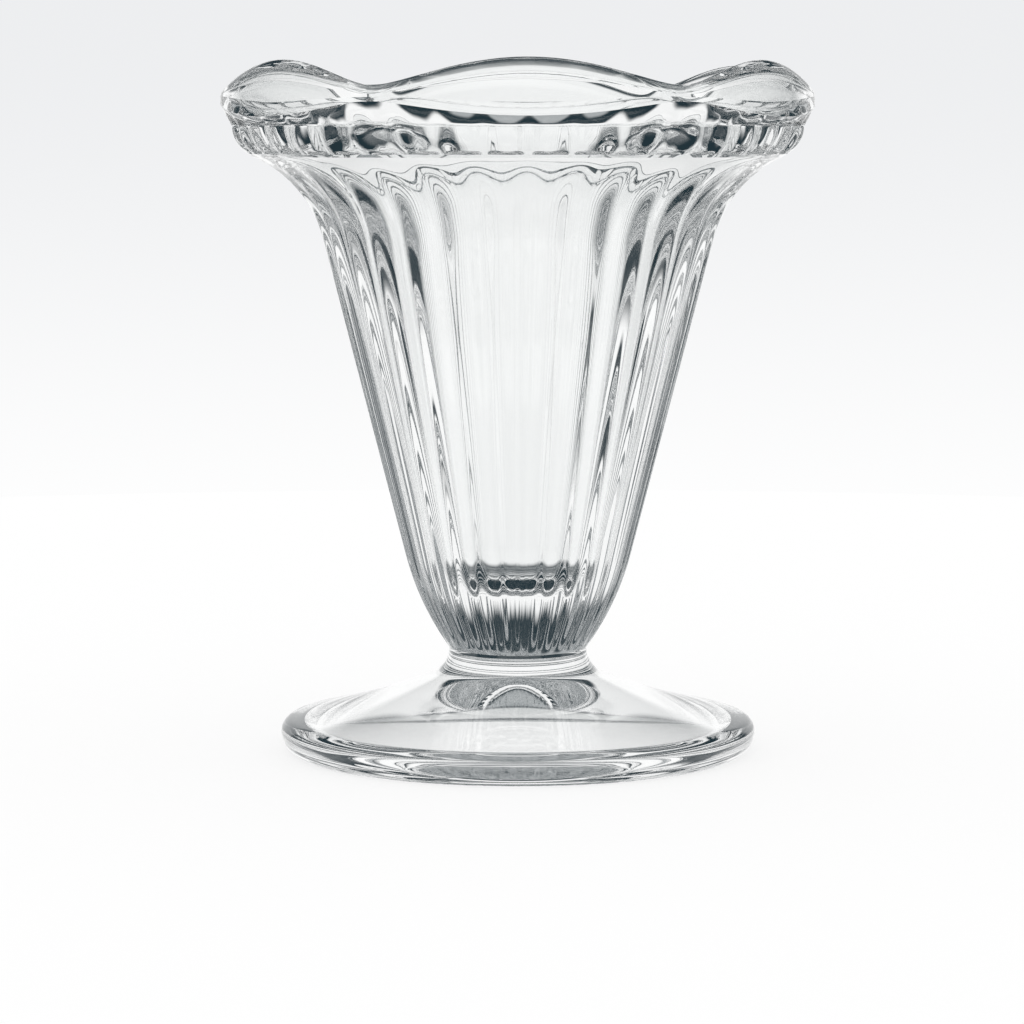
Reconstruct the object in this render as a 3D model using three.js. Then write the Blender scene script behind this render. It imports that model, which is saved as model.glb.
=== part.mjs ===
// Ice cream coupe in pressed clear glass: a fluted bowl with a six-lobed rim, fused onto a round foot.
// Millimetres, Z up. The glass stands on Z = 0 with its axis on Z, and one lobe of the rim faces -Y.
import * as THREE from "three";

// Rim
const LOBE_COUNT = 6;
const RIM_VALLEY_HEIGHT = 140.3; // table to the low point between two lobes
const LOBE_RISE = 5.4; // low point of the rim up to the top of a lobe
const RIM_CORNER_RADIUS = 62.5; // axis to the outside of the rim, between two lobes
const RIM_LOBE_RADIUS = 58.4; // axis to the outside of the rim at the top of a lobe, which leans in
const LIP_THICKNESS = 3.9;
const LIP_CORNER_CROWN = 1.8; // height of the rounded top of the lip, between two lobes
const LIP_LOBE_CROWN = 3.6; // the same in the middle of a lobe
const VALLEY_SOFTNESS = 0.2; // share of half a lobe over which a valley is rounded

// Gadrooned band under the rim
const GADROON_COUNT = 42;
const GADROON_DEPTH = 1.5;
const GADROON_SOFTNESS = 0.5; // share of half a panel over which a rib is rounded
const BAND_DROP = 3.3; // low point of the rim down to the sharp edge over the band
const BAND_DIP = 2.8; // how much lower that edge is in the middle of a lobe
const BAND_LOBE_RADIUS = 61; // axis to that edge in the middle of a lobe
const BAND_HEIGHT = 10.4; // edge down to the foot of the band, between two lobes
const PANEL_SILL = 0.1; // share of the band over which a panel rises from its foot
const PANEL_COVE = 0.25; // share of the band over which it ends under the edge
const LEDGE_STEP = 0.7; // how far the foot of the band stands out from the flare
const LEDGE_RISE = 0.6; // height of the ledge between flare and band

// Fluted body
const FLUTE_COUNT = 30;
const FLUTE_DEPTH_SHARE = 0.034; // depth of a flute over the radius of the bowl
const FLUTE_SOFTNESS = 0.4; // share of half a flute over which an edge is rounded
const FLUTE_START = 1; // height over which a flute deepens above the neck
const FLUTE_RUN_OUT = 9; // height over which it runs out under the ledge
const FLARE_END_RADIUS = 55.8;
const FLARE_HEIGHT = 17; // top of the straight taper up to the ledge
const TAPER_END_RADIUS = 41.3;
const TAPER_START_HEIGHT = 42; // where the rounded lower end turns into the taper
const TAPER_ANGLE = THREE.MathUtils.degToRad(14.5);

// Hollow of the bowl
const BODY_WALL = 10.3; // level thickness of the tapered wall
const MOUTH_LOBE_DROP = 9.3; // top of a lobe down to where the inside starts to bend inward
const MOUTH_CORNER_DROP = 2.4; // the same from the low point between two lobes
const MOUTH_BEND = 7; // radius of the bend there
const MOUTH_DEPTH = 52.3; // low point of the rim down to where the mouth starts to flare
const CAVITY_FLOOR_HEIGHT = 35.9;
const CAVITY_FLOOR_ROUND = 10;

// Fused joint between bowl and foot
const NECK_RADIUS = 14.6;
const NECK_HEIGHT = 22;

// Foot
const FOOT_RADIUS = 50.5;
const FOOT_EDGE_HEIGHT = 4.3; // table to the widest ring of the foot
const SHOULDER_INSET = 2.5; // widest ring in to the top of the foot's edge
const SHOULDER_RISE = 2.9;
const STEM_FLARE = 3.8; // how far the short stem widens before the top of the foot begins
const STEM_HEIGHT = 5.7;
const REST_INSET = 2.9; // widest ring in to the outside of the resting ring
const REST_WIDTH = 3.5;
const HOLLOW_HEIGHT = 11.5; // rise of the hollow under the foot
const HOLLOW_SLOPE = THREE.MathUtils.degToRad(13); // fall of the hollow's roof away from the axis

// Rings are cut into steps that meet every gadroon and every flute.
const BOWL_SEGMENTS = 5 * GADROON_COUNT;
const FOOT_SEGMENTS = 72;

const ORIGIN = new THREE.Vector2(0, 0);
const DOWN = new THREE.Vector2(0, -1);
const UP = new THREE.Vector2(0, 1);

// Profiles are (radius, height) points.
function at(radius, height) {
  return new THREE.Vector2(radius, height);
}

// Angle from a heading to the chord of the arc that leaves `start` that way and passes through `end`.
function chordAngle(start, heading, end) {
  const chord = end.clone().sub(start);
  return Math.atan2(heading.cross(chord), heading.dot(chord));
}

// Heading at the far end of that arc.
function headingAfter(start, heading, end) {
  return heading.clone().rotateAround(ORIGIN, 2 * chordAngle(start, heading, end));
}

// Point at a share of the way along that arc.
function arcPoint(start, heading, end, share) {
  const bend = chordAngle(start, heading, end);
  const diameter = start.distanceTo(end) / Math.sin(bend);
  const reach = heading.clone().rotateAround(ORIGIN, bend * share);
  return reach.multiplyScalar(diameter * Math.sin(bend * share)).add(start);
}

// Points on that arc, evenly spaced, with `end` and without `start`.
function tangentArc(start, heading, end, steps) {
  return Array.from({ length: steps }, (_, step) => arcPoint(start, heading, end, (step + 1) / steps));
}

// Where an angle falls across one of `count` repeats: -1 and 1 on the edges of the repeat, 0 in its middle.
function across(turn, count, middle) {
  const repeats = ((turn - middle) * count) / (2 * Math.PI);
  return 2 * (repeats - Math.round(repeats));
}

// A round arch over one repeat, from 0 on its softened edges to 1 in the middle.
function arch(offset, softness) {
  const softened = Math.hypot(1 - Math.abs(offset), softness) - softness;
  const share = softened / (Math.hypot(1, softness) - softness);
  return 1 - (1 - share) ** 2;
}

// How far a ring has gone from its corner shape, 0, to its lobe shape, 1.
function lobeShare(turn) {
  return arch(across(turn, LOBE_COUNT, 0), VALLEY_SOFTNESS);
}

function fluteScoop(turn) {
  return FLUTE_DEPTH_SHARE * arch(across(turn, FLUTE_COUNT, Math.PI / FLUTE_COUNT), FLUTE_SOFTNESS);
}

function gadroonScoop(turn) {
  return GADROON_DEPTH * arch(across(turn, GADROON_COUNT, Math.PI / GADROON_COUNT), GADROON_SOFTNESS);
}

// Rings of a profile: a point between two lobes, a point in the middle of a lobe, and shares of the relief.
function rings(corners, lobes = corners, relief = {}) {
  return corners.map((corner, index) => ({ corner, lobe: lobes[index], flute: 0, panel: 0, ...relief }));
}

// Revolves the rings about Z and presses their relief into them.
function pressedRevolve(profile, segments) {
  const outline = profile.map((ring) => ring.corner);
  const geometry = new THREE.LatheGeometry(outline, segments);
  const position = geometry.attributes.position;
  for (let index = 0; index < position.count; index += 1) {
    const ring = profile[index % profile.length];
    const turn = (2 * Math.PI * Math.floor(index / profile.length)) / segments;
    const point = ring.corner.clone().lerp(ring.lobe, lobeShare(turn));
    const radius = point.x * (1 - ring.flute * fluteScoop(turn)) - ring.panel * gadroonScoop(turn);
    position.setXYZ(index, radius * Math.sin(turn), point.y, radius * Math.cos(turn));
  }
  geometry.rotateX(Math.PI / 2);
  return geometry;
}

// Points shared by the outside and the inside of the bowl
const NECK = at(NECK_RADIUS, NECK_HEIGHT);
const CORNER_TOP = at(RIM_CORNER_RADIUS, RIM_VALLEY_HEIGHT);
const LOBE_TOP = at(RIM_LOBE_RADIUS, RIM_VALLEY_HEIGHT + LOBE_RISE);
const CORNER_EDGE = at(RIM_CORNER_RADIUS, RIM_VALLEY_HEIGHT - BAND_DROP);
const LOBE_EDGE = at(BAND_LOBE_RADIUS, CORNER_EDGE.y - BAND_DIP);
const BAND_FOOT = at(FLARE_END_RADIUS + LEDGE_STEP, CORNER_EDGE.y - BAND_HEIGHT);
const LEDGE = at(FLARE_END_RADIUS, BAND_FOOT.y - LEDGE_RISE);
const TAPER_HEADING = at(Math.sin(TAPER_ANGLE), Math.cos(TAPER_ANGLE));
const TAPER_END = at(TAPER_END_RADIUS, LEDGE.y - FLARE_HEIGHT);
const INNER_TAPER_END = at(TAPER_END.x - BODY_WALL, TAPER_END.y);

// The point at a height on the straight line through a point of the taper.
function onTaper(point, height) {
  return point.clone().addScaledVector(TAPER_HEADING, (height - point.y) / TAPER_HEADING.y);
}

// Fluted outside, from the neck up to the ledge.
function flutedRings() {
  const start = onTaper(TAPER_END, TAPER_START_HEIGHT);
  const backward = TAPER_HEADING.clone().negate();
  const firstShare = 1 - FLUTE_START / (TAPER_START_HEIGHT - NECK_HEIGHT);
  const runIn = arcPoint(start, backward, NECK, firstShare);
  const lowerRound = tangentArc(start, backward, NECK, 3).reverse().slice(1);
  const flare = tangentArc(TAPER_END, TAPER_HEADING, LEDGE, 4);
  return rings([runIn, ...lowerRound, start, TAPER_END, ...flare]).map((ring) => ({
    ...ring,
    flute: THREE.MathUtils.smoothstep(LEDGE.y - ring.corner.y, 0, FLUTE_RUN_OUT),
  }));
}

// Gadrooned band, from its foot up to the sharp edge under the rim.
function bandRings() {
  const shares = [PANEL_SILL, 0.5, 1 - PANEL_COVE];
  const toCorner = shares.map((share) => arcPoint(CORNER_EDGE, DOWN, BAND_FOOT, 1 - share));
  const toLobe = shares.map((share) => arcPoint(LOBE_EDGE, DOWN, BAND_FOOT, 1 - share));
  return [
    ...rings([BAND_FOOT]),
    ...rings(toCorner, toLobe, { panel: 1 }),
    ...rings([CORNER_EDGE], [LOBE_EDGE]),
  ];
}

// Rounded top of the lip, from its upright outside to its upright inside.
function crownPoints(top, crown) {
  const steps = 4;
  return Array.from({ length: steps + 1 }, (_, step) => {
    const lean = (Math.PI * step) / steps;
    return at(top.x + (LIP_THICKNESS / 2) * (Math.cos(lean) - 1), top.y + crown * (Math.sin(lean) - 1));
  });
}

// Inside of the mouth, which leans by `rise` at `top`: the upper bend, then the flare down to the taper.
function mouthPoints(top, rise) {
  const start = onTaper(INNER_TAPER_END, RIM_VALLEY_HEIGHT - MOUTH_DEPTH);
  const outward = at(TAPER_HEADING.y, -TAPER_HEADING.x);
  const bendMiddle = at(top.x - MOUTH_BEND * rise.y, top.y + MOUTH_BEND * rise.x);
  const offset = start.clone().sub(bendMiddle);
  const radius = (offset.lengthSq() - MOUTH_BEND ** 2) / (2 * (MOUTH_BEND - offset.dot(outward)));
  const flareMiddle = start.clone().addScaledVector(outward, radius);
  const bendEnd = bendMiddle.clone().lerp(flareMiddle, MOUTH_BEND / (radius + MOUTH_BEND));
  const flare = tangentArc(start, TAPER_HEADING, bendEnd, 3).reverse().slice(1);
  return [top, ...tangentArc(top, rise.clone().negate(), bendEnd, 2), ...flare, start];
}

// Hollow below the mouth, down to the axis.
function wellPoints() {
  const roundTop = CAVITY_FLOOR_HEIGHT + CAVITY_FLOOR_ROUND * (1 - TAPER_HEADING.x);
  const coneEnd = onTaper(INNER_TAPER_END, roundTop);
  const floorEdge = at(coneEnd.x - CAVITY_FLOOR_ROUND * TAPER_HEADING.y, CAVITY_FLOOR_HEIGHT);
  const round = tangentArc(coneEnd, TAPER_HEADING.clone().negate(), floorEdge, 2);
  return [coneEnd, ...round, at(0, CAVITY_FLOOR_HEIGHT)];
}

function bowlProfile() {
  const mouthCorner = at(RIM_CORNER_RADIUS - LIP_THICKNESS, CORNER_TOP.y - MOUTH_CORNER_DROP);
  const lobeLip = at(LOBE_TOP.x, LOBE_TOP.y - LIP_LOBE_CROWN);
  const lobeRise = lobeLip.clone().sub(LOBE_EDGE).normalize();
  const mouthLobe = lobeLip.addScaledVector(lobeRise, (LIP_LOBE_CROWN - MOUTH_LOBE_DROP) / lobeRise.y);
  mouthLobe.x -= LIP_THICKNESS;
  return [
    ...rings([at(0, NECK_HEIGHT), NECK]),
    ...flutedRings(),
    ...bandRings(),
    ...rings(crownPoints(CORNER_TOP, LIP_CORNER_CROWN), crownPoints(LOBE_TOP, LIP_LOBE_CROWN)),
    ...rings(mouthPoints(mouthCorner, UP), mouthPoints(mouthLobe, lobeRise)),
    ...rings(wellPoints()),
  ];
}

function footProfile() {
  const stemEnd = at(NECK_RADIUS + STEM_FLARE, NECK_HEIGHT - STEM_HEIGHT);
  const topHeading = headingAfter(NECK, DOWN, stemEnd);
  const widest = at(FOOT_RADIUS, FOOT_EDGE_HEIGHT);
  const shoulder = at(FOOT_RADIUS - SHOULDER_INSET, FOOT_EDGE_HEIGHT + SHOULDER_RISE);
  const restOuter = at(FOOT_RADIUS - REST_INSET, 0);
  const restInner = at(restOuter.x - REST_WIDTH, 0);
  const hollowTop = at(0, HOLLOW_HEIGHT);
  const hollowHeading = at(Math.cos(HOLLOW_SLOPE), -Math.sin(HOLLOW_SLOPE));
  return rings([
    hollowTop,
    ...tangentArc(hollowTop, hollowHeading, restInner, 3),
    restOuter,
    ...tangentArc(widest, DOWN, restOuter, 3).reverse().slice(1),
    widest,
    ...tangentArc(widest, UP, shoulder, 3),
    ...tangentArc(stemEnd, topHeading, shoulder, 3).reverse().slice(1),
    stemEnd,
    ...tangentArc(NECK, DOWN, stemEnd, 3).reverse().slice(1),
    NECK,
    at(0, NECK_HEIGHT),
  ]);
}

function glassPiece(name, geometry, colour) {
  const material = new THREE.MeshStandardMaterial({ color: colour, roughness: 0.05, metalness: 0 });
  const mesh = new THREE.Mesh(geometry, material);
  mesh.name = name;
  return mesh;
}

const coupe = new THREE.Group();
coupe.name = "ice_cream_coupe";
coupe.add(glassPiece("bowl", pressedRevolve(bowlProfile(), BOWL_SEGMENTS), "#dfe8e8"));
coupe.add(glassPiece("foot", pressedRevolve(footProfile(), FOOT_SEGMENTS), "#dbe5e6"));

export default coupe;
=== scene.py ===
"""Ice cream coupe in pressed clear glass: the looks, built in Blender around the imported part.

The fields of the pieces are in millimetres; the meshes, the studio and the camera are in metres.
The glass stands on Z = 0 with its axis on Z, and one lobe of its rim faces -Y.
"""

import logging
import math
from dataclasses import dataclass, field, replace
from enum import Enum
from itertools import pairwise

import bmesh
import bpy
from mathutils import Matrix, Vector


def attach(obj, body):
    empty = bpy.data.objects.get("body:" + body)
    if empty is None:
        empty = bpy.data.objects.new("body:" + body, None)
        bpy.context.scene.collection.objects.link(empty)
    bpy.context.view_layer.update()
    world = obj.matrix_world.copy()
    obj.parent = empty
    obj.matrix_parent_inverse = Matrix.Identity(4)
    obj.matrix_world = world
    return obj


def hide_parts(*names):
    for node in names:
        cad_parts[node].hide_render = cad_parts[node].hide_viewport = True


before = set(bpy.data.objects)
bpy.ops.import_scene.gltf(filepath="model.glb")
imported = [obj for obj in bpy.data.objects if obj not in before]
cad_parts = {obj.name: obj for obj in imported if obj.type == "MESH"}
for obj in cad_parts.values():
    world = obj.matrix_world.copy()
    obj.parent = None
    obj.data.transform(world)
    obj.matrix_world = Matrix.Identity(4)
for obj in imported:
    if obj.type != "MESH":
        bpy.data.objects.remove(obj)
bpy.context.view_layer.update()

MM = 0.001
UP = Vector((0.0, 1.0))
DOWN = Vector((0.0, -1.0))
WELD = 0.0001 * MM
LEVEL_TOLERANCE = 0.001 * MM
SUPPORT_SHARES = (0.03, 0.25, 0.5, 0.75, 0.97)
ROUND_ARCH = 2.0
GLASS_BOUNCES = 32
GLOSS_BOUNCES = 16
OGEE_STEPS = 28
OGEE_BEND_STEPS = 10
LOG = logging.getLogger("coupe")


class Slot(Enum):
    """Material slots of the record."""

    GLASS = "clear_glass"


class Node(Enum):
    """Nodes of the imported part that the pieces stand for."""

    BOWL = "bowl"
    FOOT = "foot"


class Socket:
    """An output of a shader node that can be used in arithmetic, each operation being a Math node."""

    def __init__(self, output: bpy.types.NodeSocket) -> None:
        """Wraps the output of a node."""
        self.output = output

    @staticmethod
    def plug(target: bpy.types.NodeSocket, value: "Socket | float | tuple") -> None:
        """Links or sets an input.

        Args:
            target: The input.
            value: What it gets, another node's output or a constant.
        """
        if isinstance(value, Socket):
            target.id_data.links.new(value.output, target)
        else:
            target.default_value = value

    def math(self, operation: str, *values: "Socket | float") -> "Socket":
        """Adds a Math node.

        Args:
            operation: Blender's name of the operation.
            values: Its operands.

        Returns:
            The result.
        """
        node = self.output.id_data.nodes.new("ShaderNodeMath")
        node.operation = operation
        for target, value in zip(node.inputs, values):
            Socket.plug(target, value)
        return Socket(node.outputs[0])

    def __add__(self, other: "Socket | float") -> "Socket":
        """Sum."""
        return self.math("ADD", self, other)

    def __sub__(self, other: "Socket | float") -> "Socket":
        """Difference."""
        return self.math("SUBTRACT", self, other)

    def __rsub__(self, other: float) -> "Socket":
        """Difference from a constant."""
        return self.math("SUBTRACT", other, self)

    def __mul__(self, other: "Socket | float") -> "Socket":
        """Product."""
        return self.math("MULTIPLY", self, other)

    def __truediv__(self, other: "Socket | float") -> "Socket":
        """Quotient."""
        return self.math("DIVIDE", self, other)

    def __pow__(self, other: float) -> "Socket":
        """Power."""
        return self.math("POWER", self, other)


class Graph:
    """Makes the nodes of one shader tree."""

    def __init__(self, tree: bpy.types.NodeTree) -> None:
        """Starts with an empty tree."""
        tree.nodes.clear()
        self.tree = tree

    def node(self, kind: str, inputs: dict | None = None, **settings: object) -> bpy.types.Node:
        """Adds a node.

        Args:
            kind: Its type without the leading ShaderNode.
            inputs: Values or sockets for its inputs, by name or index.
            settings: Its properties.

        Returns:
            The node.
        """
        node = self.tree.nodes.new("ShaderNode" + kind)
        for name, value in settings.items():
            setattr(node, name, value)
        for name, value in (inputs or {}).items():
            Socket.plug(node.inputs[name], value)
        return node

    def out(self, kind: str, output: str, inputs: dict | None = None, **settings: object) -> Socket:
        """Adds a node and gives one of its outputs.

        Args:
            kind: Its type without the leading ShaderNode.
            output: The name of the output.
            inputs: Values or sockets for its inputs.
            settings: Its properties.

        Returns:
            The output.
        """
        return Socket(self.node(kind, inputs, **settings).outputs[output])

    def ramp(self, value: Socket, start: float, end: float) -> Socket:
        """Eases from 0 to 1 while a value runs from start to end.

        Args:
            value: What drives the change.
            start: The value at which it begins.
            end: The value at which it is over.

        Returns:
            The eased share.
        """
        limits = {"Value": value, "From Min": start, "From Max": end}
        return self.out("MapRange", "Result", limits, interpolation_type="SMOOTHSTEP")

    def blend(self, share: Socket, first: "Socket | tuple", second: "Socket | tuple") -> Socket:
        """Mixes two colours.

        Args:
            share: How much of the second is in the mix.
            first: A colour.
            second: A colour.

        Returns:
            The mix.
        """
        mix = self.node("Mix", data_type="RGBA")
        Socket.plug(mix.inputs["Factor"], share)
        colours = [slot for slot in mix.inputs if slot.type == "RGBA"]
        Socket.plug(colours[0], first)
        Socket.plug(colours[1], second)
        return Socket(next(slot for slot in mix.outputs if slot.type == "RGBA"))


@dataclass(frozen=True)
class ClearGlass:
    """Clear pressed glass with the faint waviness and the scuffed foot of a used piece."""

    ior: float = 1.52
    tint: tuple = (0.995, 1.0, 0.999, 1.0)
    tint_deep: tuple = (0.985, 0.995, 0.992, 1.0)
    polish: float = 0.001
    scuff: float = 0.16
    scuff_height: float = 0.35
    grain_scale: float = 900.0
    grain_start: float = 0.42
    grain_end: float = 0.6
    wave_scale: float = 55.0
    wave_height: float = 0.000008

    def material(self) -> bpy.types.Material:
        """Makes the material.

        Returns:
            The glass.
        """
        material = bpy.data.materials.new("clear glass")
        material.use_nodes = True
        graph = Graph(material.node_tree)
        place = graph.out("TexCoord", "Object")
        wave = graph.out("TexNoise", "Fac", {"Vector": place, "Scale": self.wave_scale, "Detail": 1.0})
        grain = graph.out("TexNoise", "Fac", {"Vector": place, "Scale": self.grain_scale, "Detail": 3.0})
        height = graph.out("SeparateXYZ", "Z", {"Vector": place})
        patchy = graph.ramp(grain, self.grain_start, self.grain_end)
        worn = graph.ramp(height, self.scuff_height * MM, 0.0) * patchy
        bump = {"Height": wave, "Strength": 1.0, "Distance": self.wave_height}
        surface = {
            "Base Color": graph.blend(wave, self.tint, self.tint_deep),
            "Roughness": worn * self.scuff + self.polish,
            "Normal": graph.out("Bump", "Normal", bump),
            "IOR": self.ior,
            "Transmission Weight": 1.0,
        }
        shader = graph.out("BsdfPrincipled", "BSDF", surface)
        graph.node("OutputMaterial", {"Surface": shader})
        return material


@dataclass(frozen=True)
class FusedFace:
    """The face on which the two pressings are melted into each other, so that nothing of it shows."""

    def material(self) -> bpy.types.Material:
        """Makes the material.

        Returns:
            The unseen finish.
        """
        material = bpy.data.materials.new("fused face")
        material.use_nodes = True
        graph = Graph(material.node_tree)
        shader = graph.out("BsdfPrincipled", "BSDF", {"Alpha": 0.0})
        graph.node("OutputMaterial", {"Surface": shader})
        return material


@dataclass(frozen=True)
class Ring:
    """One ring of a turned outline, with the relief that is pressed into it.

    Attributes:
        corner: Radius and height, at a corner of the rim where the ring is lobed.
        lobe: Radius and height in the middle of a lobe, where that differs.
        flute: How far the flutes are run out, from 0 where they have ended to 1.
        band: Place in the gadrooned band, from 0 at its foot over 1 at the top of the panels to 2.
        crease: Whether the glass has an edge there.
    """

    corner: Vector
    lobe: Vector | None = None
    flute: float | None = None
    band: float | None = None
    crease: bool = False


def smoothstep(value: float, start: float, end: float) -> float:
    """Eases from 0 to 1.

    Args:
        value: What drives the change.
        start: The value at which it begins.
        end: The value at which it is over.

    Returns:
        The eased share.
    """
    share = min(1.0, max(0.0, (value - start) / (end - start)))
    return share * share * (3.0 - 2.0 * share)


def across(turn: float, count: int, middle: float = 0.0) -> float:
    """Finds where an angle falls across one of several repeats.

    Args:
        turn: The angle.
        count: The number of repeats in a circle.
        middle: The angle of one repeat's middle.

    Returns:
        -1 and 1 on the edges of the repeat, 0 in its middle.
    """
    repeats = (turn - middle) * count / math.tau
    return 2.0 * (repeats - round(repeats))


def arch(offset: float, softness: float) -> float:
    """Shapes one repeat as a round arch.

    Args:
        offset: Place across the repeat, from -1 to 1.
        softness: Share of half a repeat over which its edges are rounded.

    Returns:
        0 on the edges, 1 in the middle.
    """
    inset = math.hypot(1.0 - abs(offset), softness) - softness
    share = inset / (math.hypot(1.0, softness) - softness)
    return 1.0 - (1.0 - share) ** ROUND_ARCH


def chord_angle(start: Vector, heading: Vector, end: Vector) -> float:
    """Measures an arc that leaves a point in a given direction.

    Args:
        start: Where it begins.
        heading: Its direction there.
        end: Where it ends.

    Returns:
        The angle from the heading to the chord, half of what the arc turns.
    """
    chord = end - start
    return math.atan2(heading.x * chord.y - heading.y * chord.x, heading.dot(chord))


def heading_after(start: Vector, heading: Vector, end: Vector) -> Vector:
    """Gives the direction at the end of such an arc.

    Args:
        start: Where it begins.
        heading: Its direction there.
        end: Where it ends.

    Returns:
        The direction.
    """
    return Matrix.Rotation(2.0 * chord_angle(start, heading, end), 2) @ heading


def tangent_arc(start: Vector, heading: Vector, end: Vector, steps: int) -> list[Vector]:
    """Divides such an arc evenly.

    Args:
        start: Where it begins.
        heading: Its direction there.
        end: Where it ends.
        steps: The number of parts.

    Returns:
        The points, both ends included.
    """
    bend = chord_angle(start, heading, end)
    radius = (end - start).length / (2.0 * math.sin(bend))
    turns = [bend * step / steps for step in range(steps + 1)]
    return [start + Matrix.Rotation(turn, 2) @ heading * (2.0 * radius * math.sin(turn)) for turn in turns]


def ogee(start: Vector, heading: Vector, top: Vector, rise: Vector, bend: float) -> list[Vector]:
    """Draws an arc that leans outward and then bends up.

    Args:
        start: First point.
        heading: Direction there.
        top: Last point.
        rise: Direction there.
        bend: Radius of the upper bend.

    Returns:
        Points from start to top.
    """
    outward = Vector((heading.y, -heading.x))
    middle = top + Vector((-rise.y, rise.x)) * bend
    offset = start - middle
    radius = (offset.length_squared - bend**2) / (2.0 * (bend - offset.dot(outward)))
    turn = middle + (start + outward * radius - middle) * (bend / (radius + bend))
    lower = tangent_arc(start, heading, turn, OGEE_STEPS)
    return lower + tangent_arc(top, -rise, turn, OGEE_BEND_STEPS)[-2::-1]


def straight(start: Vector, end: Vector, steps: int) -> list[Vector]:
    """Divides a line evenly.

    Args:
        start: Where it begins.
        end: Where it ends.
        steps: The number of parts.

    Returns:
        The points, both ends included.
    """
    return [start.lerp(end, step / steps) for step in range(steps + 1)]


def joined(*stretches: list[Vector]) -> list[Vector]:
    """Joins stretches of an outline.

    Args:
        stretches: Points in order, where each stretch begins on the point that the last one ended on.

    Returns:
        All points, without doubles.
    """
    points = list(stretches[0])
    for stretch in stretches[1:]:
        points += stretch[1:]
    return points


def upright(start: Ring, end: Ring) -> list[Ring]:
    """Sets rings between two others so that a flat side is shaded flat.

    Args:
        start: The ring that the side begins on.
        end: The ring that it ends on.

    Returns:
        The rings between, close to both ends and in the middle.
    """
    return [Ring(start.corner.lerp(end.corner, s), start.lobe.lerp(end.lobe, s)) for s in SUPPORT_SHARES]


@dataclass
class Pressing:
    """A piece of glass that is turned about the axis and pressed in a mould.

    It is spun in equal sectors, each of so many steps.
    """

    name: str
    node: Node
    steps: int
    sectors: int = 6
    neck_radius: float = 14.6
    neck_height: float = 22.0

    def rings(self) -> list[Ring]:
        """Gives the outline of the piece, from axis to axis."""
        raise NotImplementedError

    def press(self, ring: Ring, turn: float) -> tuple[float, float]:
        """Gives the radius and height of a ring at one angle."""
        return ring.corner.x, ring.corner.y

    def build(self) -> bpy.types.Object:
        """Spins the outline into a closed mesh and presses the relief into it.

        Returns:
            The piece.
        """
        rings = self.rings()
        mesh = bmesh.new()
        number = mesh.verts.layers.int.new("ring")
        chain = [mesh.verts.new((ring.corner.x * MM, 0.0, ring.corner.y * MM)) for ring in rings]
        for index, vertex in enumerate(chain):
            vertex[number] = index
        lines = [mesh.edges.new(ends) for ends in pairwise(chain)]
        around = {"cent": (0.0, 0.0, 0.0), "axis": (0.0, 0.0, 1.0)}
        sector = math.tau / self.sectors
        bmesh.ops.spin(mesh, geom=chain + lines, steps=self.steps, angle=sector, **around)
        first = mesh.verts[:] + mesh.edges[:] + mesh.faces[:]
        copies = self.sectors - 1
        bmesh.ops.spin(mesh, geom=first, steps=copies, angle=copies * sector, use_duplicate=True, **around)
        for vertex in mesh.verts:
            turn = math.atan2(vertex.co.x, -vertex.co.y)
            radius, height = self.press(rings[vertex[number]], turn)
            vertex.co = Vector((radius * math.sin(turn), -radius * math.cos(turn), height)) * MM
        bmesh.ops.remove_doubles(mesh, verts=mesh.verts, dist=WELD)
        bmesh.ops.recalc_face_normals(mesh, faces=mesh.faces)
        self.shade(mesh, [ring.crease for ring in rings])
        data = bpy.data.meshes.new(self.name)
        mesh.to_mesh(data)
        mesh.free()
        piece = bpy.data.objects.new(self.name, data)
        bpy.context.collection.objects.link(piece)
        LOG.info("%s: %d rings, %d faces", self.name, len(rings), len(data.polygons))
        return piece

    def shade(self, mesh: bmesh.types.BMesh, creases: list[bool]) -> None:
        """Smooths the glass between its edges and sets the fused face apart.

        Args:
            mesh: The mesh of the piece.
            creases: Which rings are edges.
        """
        level = self.neck_height * MM
        number = mesh.verts.layers.int["ring"]
        for face in mesh.faces:
            fused = all(abs(vertex.co.z - level) < LEVEL_TOLERANCE for vertex in face.verts)
            face.smooth = not fused
            face.material_index = int(fused)
        for edge in mesh.edges:
            start, end = (vertex[number] for vertex in edge.verts)
            edge.smooth = start != end or not creases[start]

    def dress(self, piece: bpy.types.Object, glass: bpy.types.Material, fused: bpy.types.Material) -> None:
        """Gives the piece its finishes and its place in the part.

        Args:
            piece: The piece.
            glass: Its glass.
            fused: The finish of its fused face.
        """
        piece.data.materials.append(glass)
        piece.data.materials.append(fused)
        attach(piece, "root")
        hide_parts(self.node.value)


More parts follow.
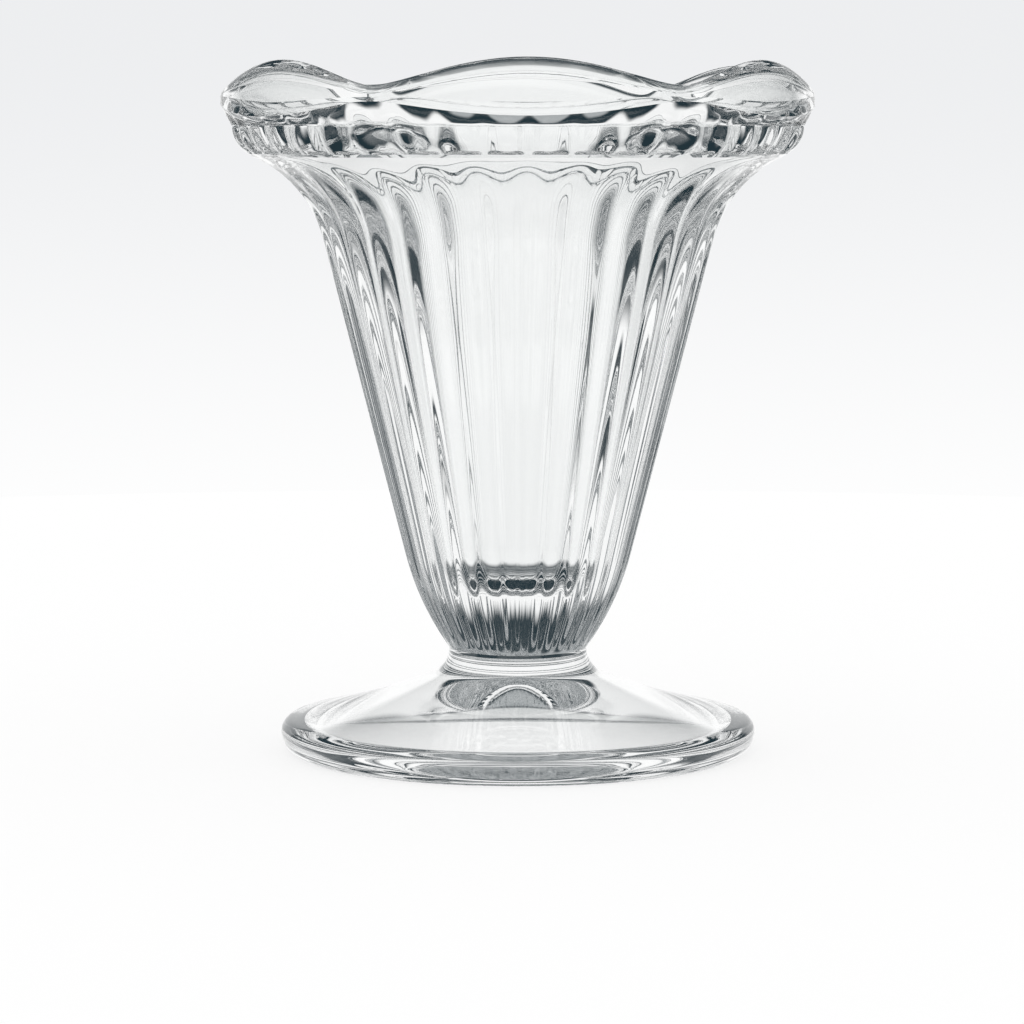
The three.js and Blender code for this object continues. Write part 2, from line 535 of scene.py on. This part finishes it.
@dataclass
class Bowl(Pressing):
    """The fluted bowl with its gadrooned band and its six-lobed rim."""

    name: str = "coupe_bowl"
    node: Node = Node.BOWL
    steps: int = 105

    lobes: int = 6
    lobe_softness: float = 0.2
    corner_top: Vector = field(default_factory=lambda: Vector((62.5, 140.3)))
    lobe_top: Vector = field(default_factory=lambda: Vector((58.4, 145.7)))
    lip: float = 3.9
    corner_lip: float = 1.8
    lobe_lip: float = 4.2

    gadroons: int = 42
    gadroon_depth: float = 1.5
    gadroon_rib: float = 0.8
    soffit_corner: Vector = field(default_factory=lambda: Vector((60.2, 132.4)))
    soffit_lobe: Vector = field(default_factory=lambda: Vector((59.3, 132.4)))
    gadroon_sill: float = 0.08
    sill_bow: float = 0.3
    corner_edge: Vector = field(default_factory=lambda: Vector((62.5, 137.0)))
    lobe_edge: Vector = field(default_factory=lambda: Vector((61.0, 134.2)))
    band_foot: Vector = field(default_factory=lambda: Vector((56.5, 126.6)))
    ledge: Vector = field(default_factory=lambda: Vector((55.8, 126.0)))

    flutes: int = 30
    flute_share: float = 0.029
    flute_softness: float = 0.4
    flute_arch: float = 9.0
    flute_end: float = 4.0
    taper_end: Vector = field(default_factory=lambda: Vector((41.3, 109.0)))
    taper_start_height: float = 42.0
    taper_angle: float = math.radians(14.5)

    body_wall: float = 10.3
    mouth_start: float = 89.0
    mouth_corner: float = 137.9
    mouth_lobe: float = 136.4
    mouth_bend: float = 8.0
    floor_height: float = 35.9
    floor_round: float = 10.0

    lower_steps: int = 14
    run_out_steps: int = 4
    taper_steps: int = 8
    flare_steps: int = 24
    panel_steps: int = 16
    soffit_steps: int = 6
    lip_steps: int = 12
    well_steps: int = 6
    floor_steps: int = 10

    @property
    def taper_heading(self) -> Vector:
        """Direction up the straight taper."""
        return Vector((math.sin(self.taper_angle), math.cos(self.taper_angle)))

    def press(self, ring: Ring, turn: float) -> tuple[float, float]:
        """Presses the relief into a ring.

        Args:
            ring: The ring.
            turn: The angle.

        Returns:
            Radius and height there.
        """
        point = ring.corner
        if ring.lobe is not None:
            point = point.lerp(ring.lobe, arch(across(turn, self.lobes), self.lobe_softness))
        radius = point.x
        if ring.flute is not None:
            hollow = arch(across(turn, self.flutes, math.pi / self.flutes), self.flute_softness)
            radius -= self.flute_share * radius * hollow * ring.flute
        if ring.band is not None:
            offset = across(turn, self.gadroons, math.pi / self.gadroons)
            radius -= self.gadroon_depth * self.panel(ring.band, offset)
        return radius, point.y

    def panel(self, share: float, offset: float) -> float:
        """Shapes a gadroon panel.

        Args:
            share: Height in the band, from 0 at its foot over 1 at the top of the panels to 2 at the edge.
            offset: Place across the panel, from -1 to 1.

        Returns:
            Share of the full depth, which has a rounded sill at the foot and runs out under the edge.
        """
        cove = min(1.0, 2.0 - share)
        bow = offset * offset
        sill_start = self.gadroon_sill * self.sill_bow * bow
        sill_end = self.gadroon_sill * (1.0 + bow)
        rib = smoothstep(1.0 - abs(offset), 0.0, self.gadroon_rib)
        return cove * smoothstep(share, sill_start, sill_end) * rib

    def outside(self) -> list[Ring]:
        """Gives the outside.

        Returns:
            Rings from the axis, over the fused face, up to the ledge under the band.
        """
        heading = self.taper_heading
        neck = Vector((self.neck_radius, self.neck_height))
        start = self.taper_end + heading * ((self.taper_start_height - self.taper_end.y) / heading.y)
        lower = tangent_arc(start, -heading, neck, self.lower_steps)[::-1]
        taper = straight(start, self.taper_end, self.taper_steps)
        flare = tangent_arc(self.taper_end, heading, self.ledge, self.flare_steps)
        rings = [Ring(Vector((0.0, self.neck_height))), Ring(neck, crease=True)]
        # The step next to the neck is divided again, as the flutes begin there.
        fine = tangent_arc(start, -heading, neck, self.lower_steps * self.run_out_steps)[::-1]
        run_out = fine[1 : self.run_out_steps]
        for point in run_out + lower[1:] + taper[1:] + flare[1:-1]:
            fade = smoothstep(point.y, neck.y, neck.y + self.flute_end)
            fade *= smoothstep(self.ledge.y - point.y, 0.0, self.flute_arch)
            rings.append(Ring(point, flute=fade))
        return rings + [Ring(self.ledge, crease=True)]

    def band(self) -> list[Ring]:
        """Gives the gadrooned band.

        Returns:
            Rings from the foot of the band to the edge of the rim over it.
        """
        corners, lobes = (
            joined(
                tangent_arc(soffit, DOWN, self.band_foot, self.panel_steps)[::-1],
                straight(soffit, edge, self.soffit_steps),
            )
            for soffit, edge in ((self.soffit_corner, self.corner_edge), (self.soffit_lobe, self.lobe_edge))
        )
        shares = [step / self.panel_steps for step in range(self.panel_steps)]
        shares += [1.0 + step / self.soffit_steps for step in range(self.soffit_steps + 1)]
        return [
            Ring(corner, lobe, band=share, crease=share in (0.0, 2.0))
            for corner, lobe, share in zip(corners, lobes, shares)
        ]

    def rim(self) -> list[Ring]:
        """Gives the upright side and the rounded top of the rim.

        Returns:
            Rings from the edge over the band, over the top, to the inside of the lip.
        """
        rounding = []
        for step in range(self.lip_steps + 1):
            lean = math.pi * step / self.lip_steps
            inward = self.lip / 2.0 * (math.cos(lean) - 1.0)
            down = math.sin(lean) - 1.0
            corner = self.corner_top + Vector((inward, self.corner_lip * down))
            rounding.append(Ring(corner, self.lobe_top + Vector((inward, self.lobe_lip * down))))
        outer = upright(Ring(self.corner_edge, self.lobe_edge), rounding[0])
        return outer + rounding + upright(rounding[-1], self.trumpet()[0])

    def trumpet(self) -> list[Ring]:
        """Gives the flared mouth.

        Returns:
            Rings from the foot of the lip's upright inside down to the straight taper.
        """
        heading = self.taper_heading
        cone_top = self.taper_end - Vector((self.body_wall, 0.0))
        start = cone_top + heading * ((self.mouth_start - cone_top.y) / heading.y)
        lobe_rise = (self.lobe_top - Vector((0.0, self.lobe_lip)) - self.lobe_edge).normalized()
        lobe_lip = self.lobe_top - Vector((self.lip, self.lobe_lip))
        lobe = lobe_lip + lobe_rise * ((self.mouth_lobe - lobe_lip.y) / lobe_rise.y)
        corner = Vector((self.corner_top.x - self.lip, self.mouth_corner))
        to_corner = ogee(start, heading, corner, UP, self.mouth_bend)
        to_lobe = ogee(start, heading, lobe, lobe_rise, self.mouth_bend)
        flare = [Ring(p, q) for p, q in zip(to_corner[::-1], to_lobe[::-1])]
        flare[0] = replace(flare[0], crease=True)
        return flare

    def inside(self) -> list[Ring]:
        """Gives the hollow.

        Returns:
            Rings from the inside of the lip down to the axis.
        """
        heading = self.taper_heading
        flare = self.trumpet()
        start = flare[-1].corner
        round_top = self.floor_height + self.floor_round * (1.0 - heading.x)
        cone_end = start + heading * ((round_top - start.y) / heading.y)
        edge = Vector((cone_end.x - self.floor_round * heading.y, self.floor_height))
        well = straight(start, cone_end, self.well_steps)[1:]
        well += tangent_arc(cone_end, -heading, edge, self.floor_steps)[1:]
        return flare + [Ring(point) for point in well] + [Ring(Vector((0.0, self.floor_height)))]

    def rings(self) -> list[Ring]:
        """Gives the outline of the bowl, from axis to axis."""
        return self.outside() + self.band() + self.rim() + self.inside()


@dataclass
class Foot(Pressing):
    """The round foot with its short stem, hollowed underneath."""

    name: str = "coupe_foot"
    node: Node = Node.FOOT
    steps: int = 60

    radius: float = 50.5
    edge_height: float = 4.3
    shoulder_inset: float = 2.5
    shoulder_rise: float = 2.9
    stem_flare: float = 3.8
    stem_height: float = 5.7
    rest_inset: float = 2.9
    rest_width: float = 3.5
    hollow_height: float = 11.5
    hollow_slope: float = math.radians(13.0)

    face_steps: int = 24
    rest_steps: int = 3
    edge_steps: int = 8
    stem_steps: int = 12

    def rings(self) -> list[Ring]:
        """Gives the outline of the foot, from axis to axis.

        Returns:
            Rings from the hollow underneath, over the edge and the top, to the fused face.
        """
        neck = Vector((self.neck_radius, self.neck_height))
        stem = neck + Vector((self.stem_flare, -self.stem_height))
        top_heading = heading_after(neck, DOWN, stem)
        widest = Vector((self.radius, self.edge_height))
        shoulder = widest + Vector((-self.shoulder_inset, self.shoulder_rise))
        rest_outer = Vector((self.radius - self.rest_inset, 0.0))
        rest_inner = rest_outer - Vector((self.rest_width, 0.0))
        hollow_heading = Vector((math.cos(self.hollow_slope), -math.sin(self.hollow_slope)))
        stretches = [
            tangent_arc(Vector((0.0, self.hollow_height)), hollow_heading, rest_inner, self.face_steps),
            straight(rest_inner, rest_outer, self.rest_steps),
            tangent_arc(widest, DOWN, rest_outer, self.edge_steps)[::-1],
            tangent_arc(widest, UP, shoulder, self.edge_steps),
            tangent_arc(stem, top_heading, shoulder, self.face_steps)[::-1],
            tangent_arc(neck, DOWN, stem, self.stem_steps)[::-1],
            [neck, Vector((0.0, self.neck_height))],
        ]
        edges = (neck, rest_inner)
        return [Ring(point, crease=point in edges) for point in joined(*stretches)]


@dataclass
class Studio:
    """Pale floor and backdrop, and the room that the glass draws.

    That room has white screens on four sides, dark gaps between them and a grey ceiling. The backdrop is
    painted greyer towards its top as painted shade, and the floor gives the glass a painted reflection of
    the room.
    """

    floor_radius: float = 0.6
    floor_steps: int = 128
    floor_glow: float = 0.8
    floor_steep: float = math.radians(38.0)
    floor_shallow: float = math.radians(22.0)
    floor_front: float = 0.17
    floor_side: float = 0.05
    floor_soft: float = 0.02
    # Painted shade: the backdrop turns from white to this grey towards its top, between fade_start and
    # fade_end, as light falling off above.
    backdrop_top_shade: tuple = (0.85, 0.858, 0.872, 1.0)
    backdrop: tuple = (1.0, 1.0, 1.0, 1.0)
    fade_start: float = -0.124
    fade_end: float = 0.035
    surroundings: tuple = (0.018, 0.034, 0.043, 1.0)
    ceiling: tuple = (0.42, 0.44, 0.45, 1.0)
    ceiling_start: float = math.radians(34.0)
    ceiling_full: float = math.radians(42.0)
    half_width: float = math.radians(36.0)
    side_width: float = math.radians(14.0)
    half_width_soft: float = math.radians(4.0)
    top: float = math.radians(20.0)
    top_soft: float = math.radians(3.0)

    def world(self) -> None:
        """Makes the backdrop, what the glass shows of the room, and the soft light on the floor."""
        world = bpy.data.worlds.new("studio")
        bpy.context.scene.world = world
        world.use_nodes = True
        graph = Graph(world.node_tree)
        look = graph.out("TexCoord", "Generated")
        parts = graph.node("SeparateXYZ", {"Vector": look})
        up = Socket(parts.outputs["Z"])
        level = (1.0 - up * up) ** 0.5
        behind = self.screens(graph, Socket(parts.outputs["Y"]) / level, self.half_width)
        beside = self.screens(graph, Socket(parts.outputs["X"]) / level, self.side_width)
        screens = behind.math("MAXIMUM", behind, beside)
        low = graph.ramp(up, math.sin(self.top + self.top_soft), math.sin(self.top - self.top_soft))
        # Painted shade: the backdrop that the camera sees darkens towards its top, standing in for light
        # falling off above.
        paper_with_painted_shade = graph.blend(graph.ramp(up, self.fade_start, self.fade_end), self.backdrop, self.backdrop_top_shade)
        overhead = graph.ramp(up, math.sin(self.ceiling_start), math.sin(self.ceiling_full))
        walls = graph.blend(overhead, self.surroundings, self.ceiling)
        room = graph.blend(screens * low, walls, self.backdrop)
        seen = graph.out("LightPath", "Is Camera Ray")
        colour = graph.blend(seen, graph.blend(self.in_glass(graph), self.backdrop, room), paper_with_painted_shade)
        light = graph.out("Background", "Background", {"Color": colour, "Strength": 1.0})
        graph.node("OutputWorld", {"Surface": light})

    def screens(self, graph: Graph, toward: Socket, half_width: float) -> Socket:
        """Makes two bright screens that face each other across the glass.

        Args:
            graph: The graph of the world.
            toward: Cosine of the level angle to the middle of one screen.
            half_width: Level angle from there to the edge of a screen.

        Returns:
            1 on the screens, 0 beside them.
        """
        wide = math.cos(half_width + self.half_width_soft)
        narrow = math.cos(half_width - self.half_width_soft)
        return graph.ramp(toward.math("ABSOLUTE", toward), wide, narrow)

    def in_glass(self, graph: Graph) -> Socket:
        """Tells the rays that come through or off the glass from all others.

        Args:
            graph: The graph that asks.

        Returns:
            1 for such a ray, otherwise 0.
        """
        path = graph.node("LightPath")
        through = Socket(path.outputs["Is Transmission Ray"])
        return through.math("MAXIMUM", through, Socket(path.outputs["Is Glossy Ray"]))

    def floor(self) -> bpy.types.Object:
        """Makes the floor.

        Returns:
            A pale disc that glows a little, as a lit table does, and still takes the shadow. To rays through
            or off the glass it shows a painted reflection of the room instead: white for shallow looks
            towards the screens, dark for steep looks.
        """
        mesh = bmesh.new()
        bmesh.ops.create_circle(mesh, cap_ends=True, segments=self.floor_steps, radius=self.floor_radius)
        data = bpy.data.meshes.new("floor")
        mesh.to_mesh(data)
        mesh.free()
        material = bpy.data.materials.new("floor")
        material.use_nodes = True
        graph = Graph(material.node_tree)
        matte = graph.out("BsdfDiffuse", "BSDF", {"Color": self.backdrop})
        glow = graph.out("Emission", "Emission", {"Color": self.backdrop, "Strength": 1.0})
        lit = graph.out("MixShader", "Shader", {0: self.floor_glow, 1: matte, 2: glow})
        # Painted reflection: rays through or off the glass see the floor as an emission in the room's
        # colours. It is white for shallow looks inside the sectors towards the screens and dark otherwise,
        # standing in for a polished table's reflection.
        facing = graph.out("LayerWeight", "Facing", {"Blend": 0.5})
        painted_reflection_share = graph.ramp(facing, 1.0 - math.sin(self.floor_steep), 1.0 - math.sin(self.floor_shallow))
        place = graph.node("SeparateXYZ", {"Vector": graph.out("TexCoord", "Object")})
        side, back = (Socket(place.outputs[axis]) for axis in "XY")
        side, back = side.math("ABSOLUTE", side), back.math("ABSOLUTE", back)
        behind = (back + self.floor_front) * math.tan(self.half_width) - side
        beside = (side + self.floor_side) * math.tan(self.side_width) - back
        margin = behind.math("MAXIMUM", behind, beside)
        painted_reflection_mask = painted_reflection_share * graph.ramp(margin, -self.floor_soft, self.floor_soft)
        painted_reflection_colour = graph.blend(painted_reflection_mask, self.surroundings, self.backdrop)
        painted_sheen = graph.out("Emission", "Emission", {"Color": painted_reflection_colour})
        mixed = graph.out("MixShader", "Shader", {0: self.in_glass(graph), 1: lit, 2: painted_sheen})
        graph.node("OutputMaterial", {"Surface": mixed})
        data.materials.append(material)
        floor = bpy.data.objects.new("floor", data)
        bpy.context.collection.objects.link(floor)
        return floor


@dataclass
class Viewpoint:
    """The camera of the photograph."""

    distance: float = 0.792
    height: float = 0.129
    azimuth: float = math.radians(2.0)
    aim_height: float = 0.0508
    aim_left: float = 0.00127
    lens: float = 131.6
    sensor: float = 36.0
    clip_end: float = 20.0

    def place(self) -> bpy.types.Object:
        """Sets up the camera.

        Returns:
            The camera.
        """
        data = bpy.data.cameras.new("camera")
        data.sensor_width = self.sensor
        data.lens = self.lens
        data.clip_end = self.clip_end
        camera = bpy.data.objects.new("camera", data)
        turn = Matrix.Rotation(-self.azimuth, 3, "Z")
        camera.location = turn @ Vector((0.0, -self.distance, self.height))
        target = turn @ Vector((-self.aim_left, 0.0, self.aim_height))
        camera.rotation_euler = (target - camera.location).to_track_quat("-Z", "Y").to_euler()
        bpy.context.collection.objects.link(camera)
        bpy.context.scene.camera = camera
        return camera


def main() -> None:
    """Builds the glass, its studio and its camera."""
    logging.basicConfig(level=logging.INFO, format="%(name)s: %(message)s")
    scene = bpy.context.scene
    scene.view_settings.view_transform = "Standard"
    scene.cycles.max_bounces = GLASS_BOUNCES
    scene.cycles.transmission_bounces = GLASS_BOUNCES
    scene.cycles.glossy_bounces = GLOSS_BOUNCES
    scene.cycles.transparent_max_bounces = GLASS_BOUNCES

    Viewpoint().place()
    studio = Studio()
    studio.world()
    studio.floor()
    glass = ClearGlass().material()
    fused = FusedFace().material()
    for pressing in (Bowl(), Foot()):
        pressing.dress(pressing.build(), glass, fused)


if __name__ == "__main__":
    main()
